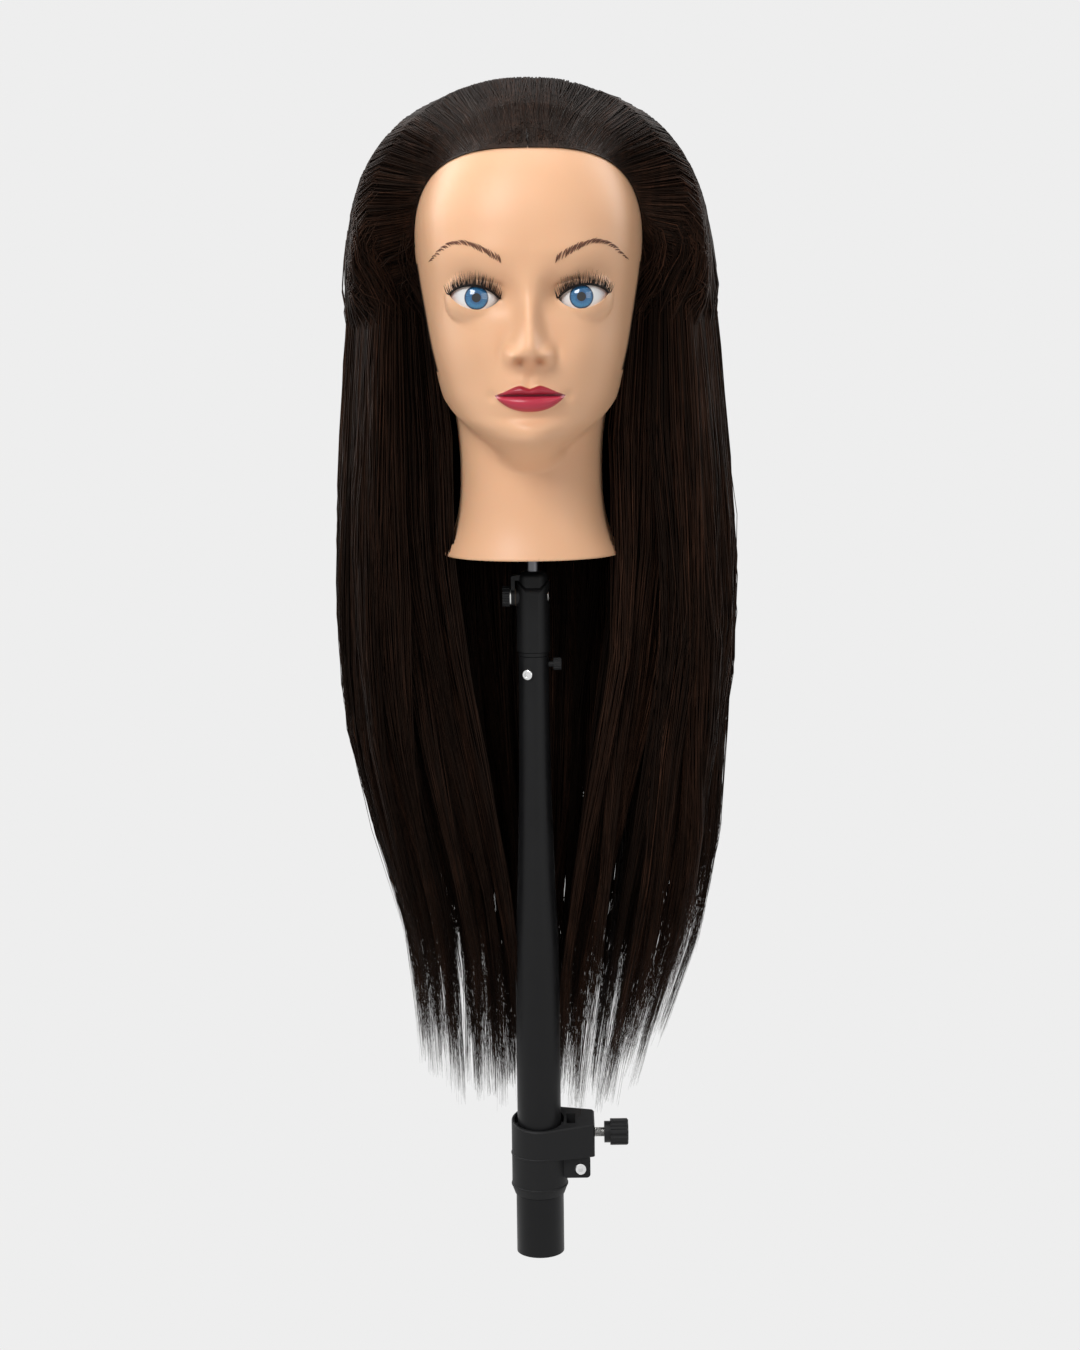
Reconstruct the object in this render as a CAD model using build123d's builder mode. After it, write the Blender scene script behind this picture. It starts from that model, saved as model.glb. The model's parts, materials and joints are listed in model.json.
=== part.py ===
from build123d import *
import math
import os

os.makedirs("parts", exist_ok=True)

# Frame: origin at the bottom centre of the column tube, +Z up the pole, the face looks towards -Y.

# Column: the fixed outer tube and the collar clamped on it
column_d = 31.0
column_bore = 29.0
column_top = 62.0
seat_low = 39.5
seat_d = 30.2
collar_d = 36.2
collar_low = 40.0
collar_top = 86.0
collar_taper = 5.0
rim_slope = 0.19
bead_heights = (46.0, 67.0)
bead_r = 0.8
bush_d = 32.4
bush_bore = 28.5

# Height lock: boss, captive nut, brass shoe and thumbscrew along +X
lock_z = 80.0
boss_end = 36.0
boss_front = -9.0
boss_back = 12.0
boss_low = 66.0
boss_round = 2.5
pocket_near = 17.8
pocket_far = 23.6
pocket_half_width = 6.2
pocket_low = 73.0
shoe_d = 7.6
shoe_near = 14.5
shoe_length = 2.6
shoe_recess = 1.2
fit_gap = 0.05
lock_screw_d = 6.0
nut_near = 19.0
nut_length = 4.4
nut_flats = 10.0
knob_near = 42.4
knob_shoulder = 46.3
knob_far = 58.0
knob_neck_d = 14.0
knob_d = 17.4
knob_flutes = 10

# Collar clamp: two ears, a split and a socket screw along Y
ear_far = 33.0
ear_low = 52.0
ear_top = 66.5
ear_half = 9.0
split_width = 1.6
clamp_x = 26.5
clamp_z = 59.0
clamp_screw_d = 4.0
clamp_head_d = 7.2
clamp_head_length = 4.0
clamp_socket_flats = 3.0
clamp_nut_flats = 7.0
clamp_nut_length = 3.2

# Sliding pole: a parallel tube that narrows to its head
pole_low = 16.0
pole_d = 28.4
pole_parallel_top = 195.0
pole_top = 394.9
pole_head_d = 19.1
pole_wall = 1.0
foot_length = 16.0
foot_flange = 3.0
guide_d = 28.9
guide_length = 10.0
guide_hub_d = 20.0

# Swivel at the pole's head
insert_length = 30.0
spigot_d = 10.0
spigot_low = 369.0
spigot_top = 412.0
retainer_z = 384.2
retainer_turn = -22.0
retainer_d = 4.0
retainer_head_d = 7.0
retainer_head_length = 2.2
groove_depth = 1.3
swivel_lock_z = 389.6
pad_d = 4.4
pad_near = 5.3
pad_length = 1.6
swivel_screw_d = 4.0
swivel_knob_near = 12.5
swivel_knob_far = 17.5
swivel_knob_d = 7.8
washer_low = 395.0
washer_top = 398.0
washer_d = 19.4

# Tilt fitting: housing, arm with its dome, bolt and knob along X
housing_d = 21.0
housing_depth = 20.0
tilt_z = 433.0
crown_r = 10.0
arm_gap = 0.4
dome_d = 19.0
dome_depth = 17.0
dome_top = 449.0
dome_round = 4.0
boss_face = -10.7
disc_d = 12.4
friction_thickness = 0.6
arm_thickness = 2.4
thrust_thickness = 0.75
tilt_bolt_d = 6.0
bolt_head_d = 10.0
bolt_head_length = 4.6
tilt_knob_d = 13.0
tilt_knob_length = 4.6
peg_d = 8.2
peg_low = 444.8
peg_top = 512.0

# Head: horizontal ellipses, each (height, half width, half depth, centre y)
head_sections = (
    (460.0, 54.0, 52.0, 8.0),
    (480.0, 47.5, 49.5, 8.0),
    (508.0, 44.5, 48.0, 8.0),
    (530.0, 44.5, 60.0, 8.0),
    (556.0, 51.0, 80.0, 6.0),
    (590.0, 60.0, 87.0, 7.0),
    (625.0, 66.5, 92.0, 7.0),
    (660.0, 69.5, 95.0, 8.0),
    (695.0, 64.0, 85.0, 9.0),
    (722.0, 50.0, 65.0, 10.0),
    (742.0, 22.0, 30.0, 11.0),
)
skin_wall = 4.5
core_gap = 0.6
nose_tip_y = -117.0
nose_back_y = -66.0
nose_root_z = 622.0
nose_tip_z = 590.0
nose_base_z = 581.0
nose_width = 18.0
plug_low = 461.0
plug_thickness = 6.0
plug_half_width = 44.5
plug_half_depth = 42.5
socket_d = 22.0
eye_x = 30.8
eye_y = -66.5
eye_z = 619.5
eye_r = 18.0
lash_width = 33.0
lash_rise = 9.0
lash_reach = 28.0
lash_thickness = 1.2

# Hair: a cap over the skull, two falls beside the face and one behind
hair_gap = 1.5
cap_low = 600.0
hairline_z = 703.0
cap_sections = (
    (600.0, 119.0, 100.0, 24.0),
    (640.0, 115.0, 100.0, 22.0),
    (680.0, 106.0, 98.0, 18.0),
    (712.0, 92.0, 90.0, 14.0),
    (738.0, 68.0, 72.0, 12.0),
    (754.0, 30.0, 36.0, 12.0),
)
side_sections = (
    (598.0, 97.0, 25.0, 60.0, 22.0),
    (420.0, 101.0, 28.0, 56.0, 18.0),
    (260.0, 97.0, 24.0, 44.0, 18.0),
    (110.0, 76.0, 10.0, 22.0, 18.0),
)
back_sections = (
    (598.0, 60.0, 30.0, 94.0),
    (420.0, 66.0, 30.0, 88.0),
    (260.0, 64.0, 24.0, 78.0),
    (112.0, 50.0, 10.0, 66.0),
)


def stacked(sections, grow=0.0):
    """A closed loft through horizontal ellipses, each grown evenly by the same amount."""
    crown = sections[-1][0]
    with BuildPart() as body:
        for height, half_width, half_depth, centre_y in sections:
            level = height + grow if height == crown else height
            with BuildSketch(Plane.XY.offset(level)):
                with Locations((0, centre_y)):
                    Ellipse(half_width + grow, half_depth + grow)
        loft()
    return body.part


def fall(sections, side):
    """A lock of hair as a loft of ellipses, on the side given by the sign of side."""
    with BuildPart() as body:
        for height, centre_x, half_width, half_depth, centre_y in sections:
            with BuildSketch(Plane.XY.offset(height)):
                with Locations((side * centre_x, centre_y)):
                    Ellipse(half_width, half_depth)
        loft()
    return body.part


def save(part, name):
    part.label = name
    export_step(part, f"parts/{name}.step")


rim_high = collar_top + rim_slope * collar_d

# ---------------------------------------------------------------- column

with BuildPart() as outer_tube:
    with BuildSketch():
        Circle(column_d / 2)
    extrude(amount=seat_low)
    # turned-down seat for the collar
    with BuildSketch(Plane.XY.offset(seat_low)):
        Circle(seat_d / 2)
    extrude(amount=column_top - seat_low)
    with BuildSketch():
        Circle(column_bore / 2)
    extrude(amount=column_top, mode=Mode.SUBTRACT)
save(outer_tube.part, "outer_tube")

with BuildPart() as collar_housing:
    with BuildSketch(Plane.XZ):
        with BuildLine():
            Polyline(
                (0, collar_low),
                (column_d / 2 + 0.8, collar_low),
                (collar_d / 2, collar_low + collar_taper),
                (collar_d / 2, boss_low + 1),
                (0, boss_low + 1),
                close=True,
            )
        make_face()
    revolve(axis=Axis.Z)
    # ears of the clamp
    with BuildSketch(Plane.XZ.offset(-ear_half)):
        with Locations(((column_d / 2 + ear_far) / 2, (ear_low + ear_top) / 2)):
            RectangleRounded(ear_far - column_d / 2, ear_top - ear_low, 2.5)
    extrude(amount=2 * ear_half)
    # upper ring, its walls running on straight into the boss for the thumbscrew
    with BuildSketch(Plane.XY.offset(boss_low)):
        Circle(collar_d / 2)
        with Locations((boss_end - 4, (boss_front + boss_back) / 2)):
            RectangleRounded(8, boss_back - boss_front, boss_round)
        make_hull()
    extrude(amount=rim_high - boss_low)
    # rim that rises from the front to the back
    with BuildSketch(Plane.YZ.offset(-collar_d)):
        with BuildLine():
            Polyline(
                (-collar_d, collar_top - rim_slope * collar_d / 2),
                (collar_d, collar_top + rim_slope * collar_d * 1.5),
                (collar_d, rim_high + 20),
                (-collar_d, rim_high + 20),
                close=True,
            )
        make_face()
    extrude(amount=3 * collar_d, mode=Mode.SUBTRACT)
    upper_rim = collar_housing.faces().sort_by(Axis.Z)[-1].edges()
    chamfer(upper_rim, 0.8)
    # beads round the barrel
    for height in bead_heights:
        with BuildSketch(Plane.XZ):
            with Locations((collar_d / 2 - 0.3, height)):
                Circle(bead_r)
        revolve(axis=Axis.Z)
    # bores for the column, the bush and the pole
    with BuildSketch(Plane.XY.offset(collar_low)):
        Circle(seat_d / 2)
    extrude(amount=column_top - collar_low, mode=Mode.SUBTRACT)
    with BuildSketch(Plane.XY.offset(column_top)):
        Circle(bush_d / 2)
    extrude(amount=rim_high - column_top, mode=Mode.SUBTRACT)
    # split between the ears and its screw hole
    with BuildSketch(Plane.XY.offset(collar_low)):
        with Locations(((column_d / 2 + ear_far) / 2, 0)):
            Rectangle(ear_far - column_d / 2 + 4, split_width)
    extrude(amount=boss_low - 1 - collar_low, mode=Mode.SUBTRACT)
    with BuildSketch(Plane.XZ.offset(-ear_half)):
        with Locations((clamp_x, clamp_z)):
            Circle(clamp_screw_d / 2)
    extrude(amount=2 * ear_half, mode=Mode.SUBTRACT)
    # shoe bore, screw bore and the open pocket of the captive nut
    with BuildSketch(Plane.YZ):
        with Locations((0, lock_z)):
            Circle(shoe_d / 2 + fit_gap)
    extrude(amount=pocket_far, mode=Mode.SUBTRACT)
    with BuildSketch(Plane.YZ):
        with Locations((0, lock_z)):
            Circle(lock_screw_d / 2 + fit_gap)
    extrude(amount=boss_end, mode=Mode.SUBTRACT)
    with BuildSketch(Plane.XY.offset(pocket_low)):
        with Locations(((pocket_near + pocket_far) / 2, 0)):
            Rectangle(pocket_far - pocket_near, 2 * pocket_half_width)
    extrude(amount=rim_high - pocket_low, mode=Mode.SUBTRACT)
save(collar_housing.part, "collar_housing")

with BuildPart() as collar_bush:
    with BuildSketch(Plane.XY.offset(column_top)):
        Circle(bush_d / 2)
        Circle(bush_bore / 2, mode=Mode.SUBTRACT)
    extrude(amount=collar_top - 1 - column_top)
    with BuildSketch(Plane.YZ):
        with Locations((0, lock_z)):
            Circle(shoe_d / 2 + fit_gap)
    extrude(amount=bush_d, mode=Mode.SUBTRACT)
save(collar_bush.part, "collar_bush")

with BuildPart() as collar_clamp_screw:
    with BuildSketch(Plane.XZ.offset(ear_half)):
        with Locations((clamp_x, clamp_z)):
            Circle(clamp_head_d / 2)
    extrude(amount=clamp_head_length)
    face_rim = collar_clamp_screw.edges().group_by(Axis.Y)[0]
    chamfer(face_rim, 0.5)
    with BuildSketch(Plane.XZ.offset(ear_half)):
        with Locations((clamp_x, clamp_z)):
            Circle(clamp_screw_d / 2)
    extrude(amount=-(2 * ear_half + clamp_nut_length + 1))
    with BuildSketch(Plane.XZ.offset(ear_half + clamp_head_length)):
        with Locations((clamp_x, clamp_z)):
            RegularPolygon(clamp_socket_flats / 2, 6, major_radius=False)
    extrude(amount=-3, mode=Mode.SUBTRACT)
save(collar_clamp_screw.part, "collar_clamp_screw")

with BuildPart() as collar_clamp_nut:
    with BuildSketch(Plane.XZ.offset(-ear_half)):
        with Locations((clamp_x, clamp_z)):
            RegularPolygon(clamp_nut_flats / 2, 6, major_radius=False)
            Circle(clamp_screw_d / 2, mode=Mode.SUBTRACT)
    extrude(amount=-clamp_nut_length)
save(collar_clamp_nut.part, "collar_clamp_nut")

# ---------------------------------------------------------------- height lock

with BuildPart() as lock_nut:
    with BuildSketch(Plane.YZ.offset(nut_near)):
        with Locations((0, lock_z)):
            RegularPolygon(nut_flats / 2, 6, major_radius=False)
            Circle(lock_screw_d / 2 + fit_gap, mode=Mode.SUBTRACT)
    extrude(amount=nut_length)
save(lock_nut.part, "lock_nut")

with BuildPart() as lock_shoe:
    with BuildSketch(Plane.YZ.offset(shoe_near)):
        with Locations((0, lock_z)):
            Circle(shoe_d / 2)
    extrude(amount=shoe_length)
    with BuildSketch(Plane.YZ.offset(shoe_near + shoe_length)):
        with Locations((0, lock_z)):
            Circle(2.0 + fit_gap)
    extrude(amount=-shoe_recess, mode=Mode.SUBTRACT)
save(lock_shoe.part, "lock_shoe")

with BuildPart() as lock_screw:
    with BuildSketch(Plane.YZ.offset(shoe_near + shoe_length + fit_gap)):
        with Locations((0, lock_z)):
            Circle(lock_screw_d / 2)
    extrude(amount=knob_far - 4 - shoe_near - shoe_length)
    with BuildSketch(Plane.YZ.offset(shoe_near + shoe_length + fit_gap)):
        with Locations((0, lock_z)):
            Circle(2.0)
    extrude(amount=-shoe_recess)
save(lock_screw.part, "lock_screw")

with BuildPart() as lock_knob:
    with BuildSketch(Plane.YZ.offset(knob_near)):
        with Locations((0, lock_z)):
            Circle(knob_neck_d / 2)
    extrude(amount=knob_shoulder - knob_near)
    with BuildSketch(Plane.YZ.offset(knob_shoulder)):
        with Locations((0, lock_z)):
            Circle(knob_d / 2)
            with PolarLocations(knob_d / 2 + 0.9, knob_flutes):
                Circle(1.8, mode=Mode.SUBTRACT)
    extrude(amount=knob_far - knob_shoulder)
    outer_rim = lock_knob.edges().group_by(Axis.X)[-1]
    chamfer(outer_rim, 0.8)
    with BuildSketch(Plane.YZ.offset(knob_near)):
        with Locations((0, lock_z)):
            Circle(lock_screw_d / 2)
    extrude(amount=knob_far - 4 + fit_gap - knob_near, mode=Mode.SUBTRACT)
save(lock_knob.part, "lock_knob")

# ---------------------------------------------------------------- sliding pole

retainer_plane = Plane.XZ.rotated((0, 0, retainer_turn))

with BuildPart() as inner_tube:
    with BuildSketch(Plane.XZ):
        with BuildLine():
            foot_outer = Line((pole_d / 2, pole_low), (pole_d / 2, pole_parallel_top))
            neck_outer = Spline(
                foot_outer @ 1,
                (12.75, 234),
                (11.55, 268),
                (10.6, 304),
                (pole_head_d / 2, pole_top),
                tangents=((0, 1), (-0.008, 1)),
            )
            Line(neck_outer @ 1, (pole_head_d / 2 - pole_wall, pole_top))
            neck_inner = Spline(
                (pole_head_d / 2 - pole_wall, pole_top),
                (10.6 - pole_wall, 304),
                (11.55 - pole_wall, 268),
                (12.75 - pole_wall, 234),
                (pole_d / 2 - pole_wall, pole_parallel_top),
                tangents=((0.008, -1), (0, -1)),
            )
            Line(neck_inner @ 1, (pole_d / 2 - pole_wall, pole_low))
            Line((pole_d / 2 - pole_wall, pole_low), foot_outer @ 0)
        make_face()
    revolve(axis=Axis.Z)
    # holes for the retaining screw and the swivel thumbscrew
    with BuildSketch(retainer_plane):
        with Locations((0, retainer_z)):
            Circle(retainer_d / 2)
    extrude(amount=pole_d, mode=Mode.SUBTRACT)
    with BuildSketch(Plane.YZ):
        with Locations((0, swivel_lock_z)):
            Circle(swivel_screw_d / 2 + fit_gap)
    extrude(amount=pole_d, mode=Mode.SUBTRACT)
save(inner_tube.part, "inner_tube")

with BuildPart() as foot_plug:
    with BuildSketch(Plane.XZ):
        with BuildLine():
            Polyline(
                (4, pole_low - guide_length - foot_flange),
                (guide_hub_d / 2 + 2, pole_low - guide_length - foot_flange),
                (guide_hub_d / 2 + 2, pole_low - guide_length - fit_gap),
                (guide_hub_d / 2, pole_low - guide_length - fit_gap),
                (guide_hub_d / 2, pole_low),
                (pole_d / 2 - pole_wall, pole_low),
                (pole_d / 2 - pole_wall, pole_low + foot_length),
                (4, pole_low + foot_length),
                close=True,
            )
        make_face()
    revolve(axis=Axis.Z)
save(foot_plug.part, "foot_plug")

with BuildPart() as guide_bush:
    with BuildSketch(Plane.XY.offset(pole_low - guide_length)):
        Circle(guide_d / 2)
        Circle(guide_hub_d / 2 + fit_gap, mode=Mode.SUBTRACT)
    extrude(amount=guide_length - fit_gap)
save(guide_bush.part, "guide_bush")

with BuildPart() as head_insert:
    with BuildSketch(Plane.XY.offset(pole_top - insert_length)):
        Circle(pole_head_d / 2 - pole_wall)
        Circle(spigot_d / 2 + fit_gap, mode=Mode.SUBTRACT)
    extrude(amount=insert_length)
    with BuildSketch(retainer_plane):
        with Locations((0, retainer_z)):
            Circle(retainer_d / 2)
    extrude(amount=pole_d, mode=Mode.SUBTRACT)
    with BuildSketch(Plane.YZ):
        with Locations((0, swivel_lock_z)):
            Circle(pad_d / 2 + fit_gap)
    extrude(amount=pole_d, mode=Mode.SUBTRACT)
save(head_insert.part, "head_insert")

with BuildPart() as retaining_screw:
    with BuildSketch(retainer_plane.offset(spigot_d / 2 - groove_depth + 0.4)):
        with Locations((0, retainer_z)):
            Circle(retainer_d / 2)
    extrude(amount=pole_head_d / 2 - spigot_d / 2 + groove_depth - 0.4 + 0.2)
    with BuildSketch(retainer_plane.offset(pole_head_d / 2 + 0.2)):
        with Locations((0, retainer_z)):
            Circle(retainer_head_d / 2)
    extrude(amount=retainer_head_length)
    dome_rim = retaining_screw.faces().sort_by(Axis(origin=(0, 0, retainer_z), direction=retainer_plane.z_dir))[-1]
    fillet(dome_rim.edges(), 1.1)
    with BuildSketch(retainer_plane.offset(pole_head_d / 2 + 0.2 + retainer_head_length)):
        with Locations((0, retainer_z)):
            RegularPolygon(1.5, 6, major_radius=False)
    extrude(amount=-1.4, mode=Mode.SUBTRACT)
save(retaining_screw.part, "retaining_screw")

# ---------------------------------------------------------------- swivel lock

with BuildPart() as swivel_pad:
    with BuildSketch(Plane.YZ.offset(pad_near)):
        with Locations((0, swivel_lock_z)):
            Circle(pad_d / 2)
    extrude(amount=pad_length)
save(swivel_pad.part, "swivel_pad")

with BuildPart() as swivel_thumbscrew:
    with BuildSketch(Plane.YZ.offset(pad_near + pad_length + fit_gap)):
        with Locations((0, swivel_lock_z)):
            Circle(swivel_screw_d / 2)
    extrude(amount=swivel_knob_far - 0.5 - pad_near - pad_length)
    with BuildSketch(Plane.YZ.offset(swivel_knob_near)):
        with Locations((0, swivel_lock_z)):
            Circle(swivel_knob_d / 2)
            with PolarLocations(swivel_knob_d / 2 + 0.3, 16):
                Circle(0.6, mode=Mode.SUBTRACT)
    extrude(amount=swivel_knob_far - swivel_knob_near)
save(swivel_thumbscrew.part, "swivel_thumbscrew")

# ---------------------------------------------------------------- swivel and tilt fitting

with BuildPart() as swivel_washer:
    with BuildSketch(Plane.XY.offset(washer_low)):
        Circle(washer_d / 2)
        Circle(spigot_d / 2, mode=Mode.SUBTRACT)
    extrude(amount=washer_top - washer_low)
    chamfer(swivel_washer.edges().filter_by(GeomType.CIRCLE).sort_by(SortBy.RADIUS)[-2:], 0.4)
save(swivel_washer.part, "swivel_washer")

with BuildPart() as spigot:
    with BuildSketch(Plane.XY.offset(spigot_low)):
        Circle(spigot_d / 2)
    extrude(amount=spigot_top - spigot_low)
    with BuildSketch(Plane.XY.offset(retainer_z - retainer_d / 2 - 0.3)):
        Circle(spigot_d / 2 + 1)
        Circle(spigot_d / 2 - groove_depth, mode=Mode.SUBTRACT)
    extrude(amount=retainer_d + 0.6, mode=Mode.SUBTRACT)
save(spigot.part, "spigot")

with BuildPart() as swivel_housing:
    with BuildSketch(Plane.XY.offset(washer_top)):
        Circle(housing_d / 2)
        Rectangle(housing_d, housing_depth, mode=Mode.INTERSECT)
    extrude(amount=tilt_z + crown_r - washer_top)
    with BuildSketch(Plane.YZ):
        with Locations((0, tilt_z)):
            Circle(crown_r)
        with Locations((0, (washer_top + tilt_z) / 2)):
            Rectangle(housing_depth, tilt_z - washer_top)
    extrude(amount=housing_d, both=True, mode=Mode.INTERSECT)
    # round pad that the friction washer sits on
    with BuildSketch(Plane.YZ.offset(boss_face)):
        with Locations((0, tilt_z)):
            Circle(disc_d / 2)
    extrude(amount=6)
    with BuildSketch(Plane.XY.offset(washer_top)):
        Circle(spigot_d / 2)
    extrude(amount=spigot_top - washer_top, mode=Mode.SUBTRACT)
    with BuildSketch(Plane.YZ.offset(boss_face)):
        with Locations((0, tilt_z)):
            Circle(tilt_bolt_d / 2)
    extrude(amount=2 * housing_d, mode=Mode.SUBTRACT)
    with BuildSketch(Plane.YZ.offset(housing_d / 2 - bolt_head_length - 0.6)):
        with Locations((0, tilt_z)):
            Circle(bolt_head_d / 2)
    extrude(amount=housing_d, mode=Mode.SUBTRACT)
save(swivel_housing.part, "swivel_housing")

friction_face = boss_face - friction_thickness
arm_near = friction_face - fit_gap
arm_far = arm_near - arm_thickness
thrust_near = arm_far - fit_gap
thrust_far = thrust_near - thrust_thickness
tilt_knob_near = thrust_far - fit_gap
tilt_knob_far = tilt_knob_near - tilt_knob_length

with BuildPart() as tilt_bolt:
    with BuildSketch(Plane.YZ.offset(housing_d / 2 - bolt_head_length - 0.6)):
        with Locations((0, tilt_z)):
            Circle(bolt_head_d / 2)
    extrude(amount=bolt_head_length)
    with BuildSketch(Plane.YZ.offset(housing_d / 2 - 0.6)):
        with Locations((0, tilt_z)):
            RegularPolygon(2.5, 6, major_radius=False)
    extrude(amount=-2.6, mode=Mode.SUBTRACT)
    with BuildSketch(Plane.YZ.offset(housing_d / 2 - bolt_head_length - 0.6)):
        with Locations((0, tilt_z)):
            Circle(tilt_bolt_d / 2)
    extrude(amount=tilt_knob_far + 1.2 - (housing_d / 2 - bolt_head_length - 0.6))
save(tilt_bolt.part, "tilt_bolt")

with BuildPart() as friction_washer:
    with BuildSketch(Plane.YZ.offset(friction_face)):
        with Locations((0, tilt_z)):
            Circle(disc_d / 2)
            Circle(tilt_bolt_d / 2, mode=Mode.SUBTRACT)
    extrude(amount=friction_thickness)
save(friction_washer.part, "friction_washer")

with BuildPart() as tilt_arm:
    # dome above the housing
    with BuildSketch(Plane.XY.offset(tilt_z)):
        Circle(dome_d / 2)
        Rectangle(dome_d, dome_depth, mode=Mode.INTERSECT)
    extrude(amount=dome_top - tilt_z)
    shoulders = tilt_arm.edges().group_by(Axis.Z)[-1]
    fillet(shoulders, dome_round)
    # bridge to the round boss on the bolt
    with BuildSketch(Plane.YZ.offset(arm_near)):
        with Locations((0, tilt_z)):
            Circle(disc_d / 2)
        with Locations((0, tilt_z + 6)):
            Rectangle(9, 12)
    extrude(amount=-arm_thickness)
    with BuildSketch(Plane.XZ.offset(-4.5)):
        with BuildLine():
            Polyline(
                (arm_near, tilt_z + crown_r + arm_gap),
                (0, tilt_z + crown_r + arm_gap),
                (0, dome_top - 1.5),
                (-4, dome_top - 1.5),
                (arm_far, tilt_z + crown_r + 3),
                (arm_far, tilt_z + crown_r + arm_gap),
                close=True,
            )
        make_face()
    extrude(amount=9)
    # clearance over the housing's round top
    with BuildSketch(Plane.YZ.offset(arm_near)):
        with Locations((0, tilt_z)):
            Circle(crown_r + arm_gap)
    extrude(amount=housing_d + 4, mode=Mode.SUBTRACT)
    with BuildSketch(Plane.YZ.offset(arm_far)):
        with Locations((0, tilt_z)):
            Circle(tilt_bolt_d / 2 + fit_gap)
    extrude(amount=arm_thickness, mode=Mode.SUBTRACT)
    with BuildSketch(Plane.XY.offset(peg_low)):
        Circle(peg_d / 2)
    extrude(amount=dome_top - peg_low, mode=Mode.SUBTRACT)
save(tilt_arm.part, "tilt_arm")

with BuildPart() as thrust_washer:
    with BuildSketch(Plane.YZ.offset(thrust_far)):
        with Locations((0, tilt_z)):
            Circle(disc_d / 2 - 0.4)
            Circle(tilt_bolt_d / 2 + fit_gap, mode=Mode.SUBTRACT)
    extrude(amount=thrust_thickness)
save(thrust_washer.part, "thrust_washer")

with BuildPart() as tilt_knob:
    with BuildSketch(Plane.YZ.offset(tilt_knob_far)):
        with Locations((0, tilt_z)):
            Circle(tilt_knob_d / 2)
            with PolarLocations(tilt_knob_d / 2 + 0.5, 14):
                Circle(0.9, mode=Mode.SUBTRACT)
            Circle(4.2, mode=Mode.SUBTRACT)
    extrude(amount=tilt_knob_length)
save(tilt_knob.part, "tilt_knob")

with BuildPart() as tilt_knob_insert:
    with BuildSketch(Plane.YZ.offset(tilt_knob_far)):
        with Locations((0, tilt_z)):
            Circle(4.2)
            Circle(tilt_bolt_d / 2 + fit_gap, mode=Mode.SUBTRACT)
    extrude(amount=tilt_knob_length)
save(tilt_knob_insert.part, "tilt_knob_insert")

with BuildPart() as peg:
    with BuildSketch(Plane.XY.offset(peg_low)):
        Circle(peg_d / 2)
    extrude(amount=peg_top - peg_low)
    tip = peg.edges().group_by(Axis.Z)[-1]
    chamfer(tip, 1.2)
save(peg.part, "peg")

# ---------------------------------------------------------------- head

head_solid = stacked(head_sections)
head_cavity = stacked(head_sections, -skin_wall)
hair_clearance = stacked(head_sections, hair_gap)

with BuildPart() as head_skin:
    add(head_solid)
    # wedge of the nose
    with BuildSketch(Plane.YZ.offset(-nose_width / 2)):
        with BuildLine():
            Polyline(
                (nose_back_y, nose_root_z),
                (-90, nose_root_z - 2),
                (nose_tip_y, nose_tip_z + 3),
                (nose_tip_y, nose_tip_z - 3),
                (-88, nose_base_z),
                (nose_back_y, nose_base_z),
                close=True,
            )
        make_face()
    extrude(amount=nose_width)
    add(head_cavity, mode=Mode.SUBTRACT)
    # round openings for the eyes
    with BuildSketch(Plane.XZ.offset(-eye_y - 2 * eye_r)):
        with Locations((-eye_x, eye_z), (eye_x, eye_z)):
            Circle(eye_r + 0.2)
    extrude(amount=4 * eye_r, mode=Mode.SUBTRACT)
save(head_skin.part, "head_skin")

with BuildPart() as foam_core:
    add(stacked(head_sections, -skin_wall - core_gap))
    with BuildSketch(Plane.XY.offset(plug_low - 4)):
        Rectangle(200, 240)
    extrude(amount=4 + plug_thickness + 0.4, mode=Mode.SUBTRACT)
    with BuildSketch(Plane.XY.offset(plug_low)):
        Circle(socket_d / 2 + 0.2)
    extrude(amount=peg_top + 3 - plug_low, mode=Mode.SUBTRACT)
    # pockets behind the eyes
    with BuildSketch(Plane.XZ.offset(-eye_y - eye_r - 1)):
        with Locations((-eye_x, eye_z), (eye_x, eye_z)):
            Circle(eye_r + 0.4)
    extrude(amount=3 * eye_r, mode=Mode.SUBTRACT)
save(foam_core.part, "foam_core")

with BuildPart() as neck_socket:
    with BuildSketch(Plane.XY.offset(plug_low)):
        with Locations((0, head_sections[0][3])):
            Ellipse(plug_half_width, plug_half_depth)
    extrude(amount=plug_thickness)
    with BuildSketch(Plane.XY.offset(plug_low)):
        Circle(socket_d / 2)
    extrude(amount=peg_top + 2.5 - plug_low)
    with BuildSketch(Plane.XY.offset(plug_low)):
        Circle(peg_d / 2)
    extrude(amount=peg_top - plug_low, mode=Mode.SUBTRACT)
save(neck_socket.part, "neck_socket")

for side, sign in (("left", -1), ("right", 1)):
    with BuildPart() as eye:
        with Locations((sign * eye_x, eye_y, eye_z)):
            Sphere(eye_r)
    save(eye.part, f"{side}_eye")

    with BuildPart() as lash_strip:
        with BuildSketch(Plane.XZ.offset(-eye_y)):
            with Locations((sign * eye_x, eye_z + 3)):
                Ellipse(lash_width / 2, lash_rise)
                Ellipse(lash_width / 2 - 1, lash_rise - lash_thickness, mode=Mode.SUBTRACT)
            with Locations((sign * eye_x, eye_z - 7)):
                Rectangle(lash_width + 4, 20, mode=Mode.SUBTRACT)
        extrude(amount=lash_reach)
        add(head_solid, mode=Mode.SUBTRACT)
        with Locations((sign * eye_x, eye_y, eye_z)):
            Sphere(eye_r + 0.1, mode=Mode.SUBTRACT)
    save(lash_strip.part, f"{side}_lash_strip")

# ---------------------------------------------------------------- hair

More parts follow.
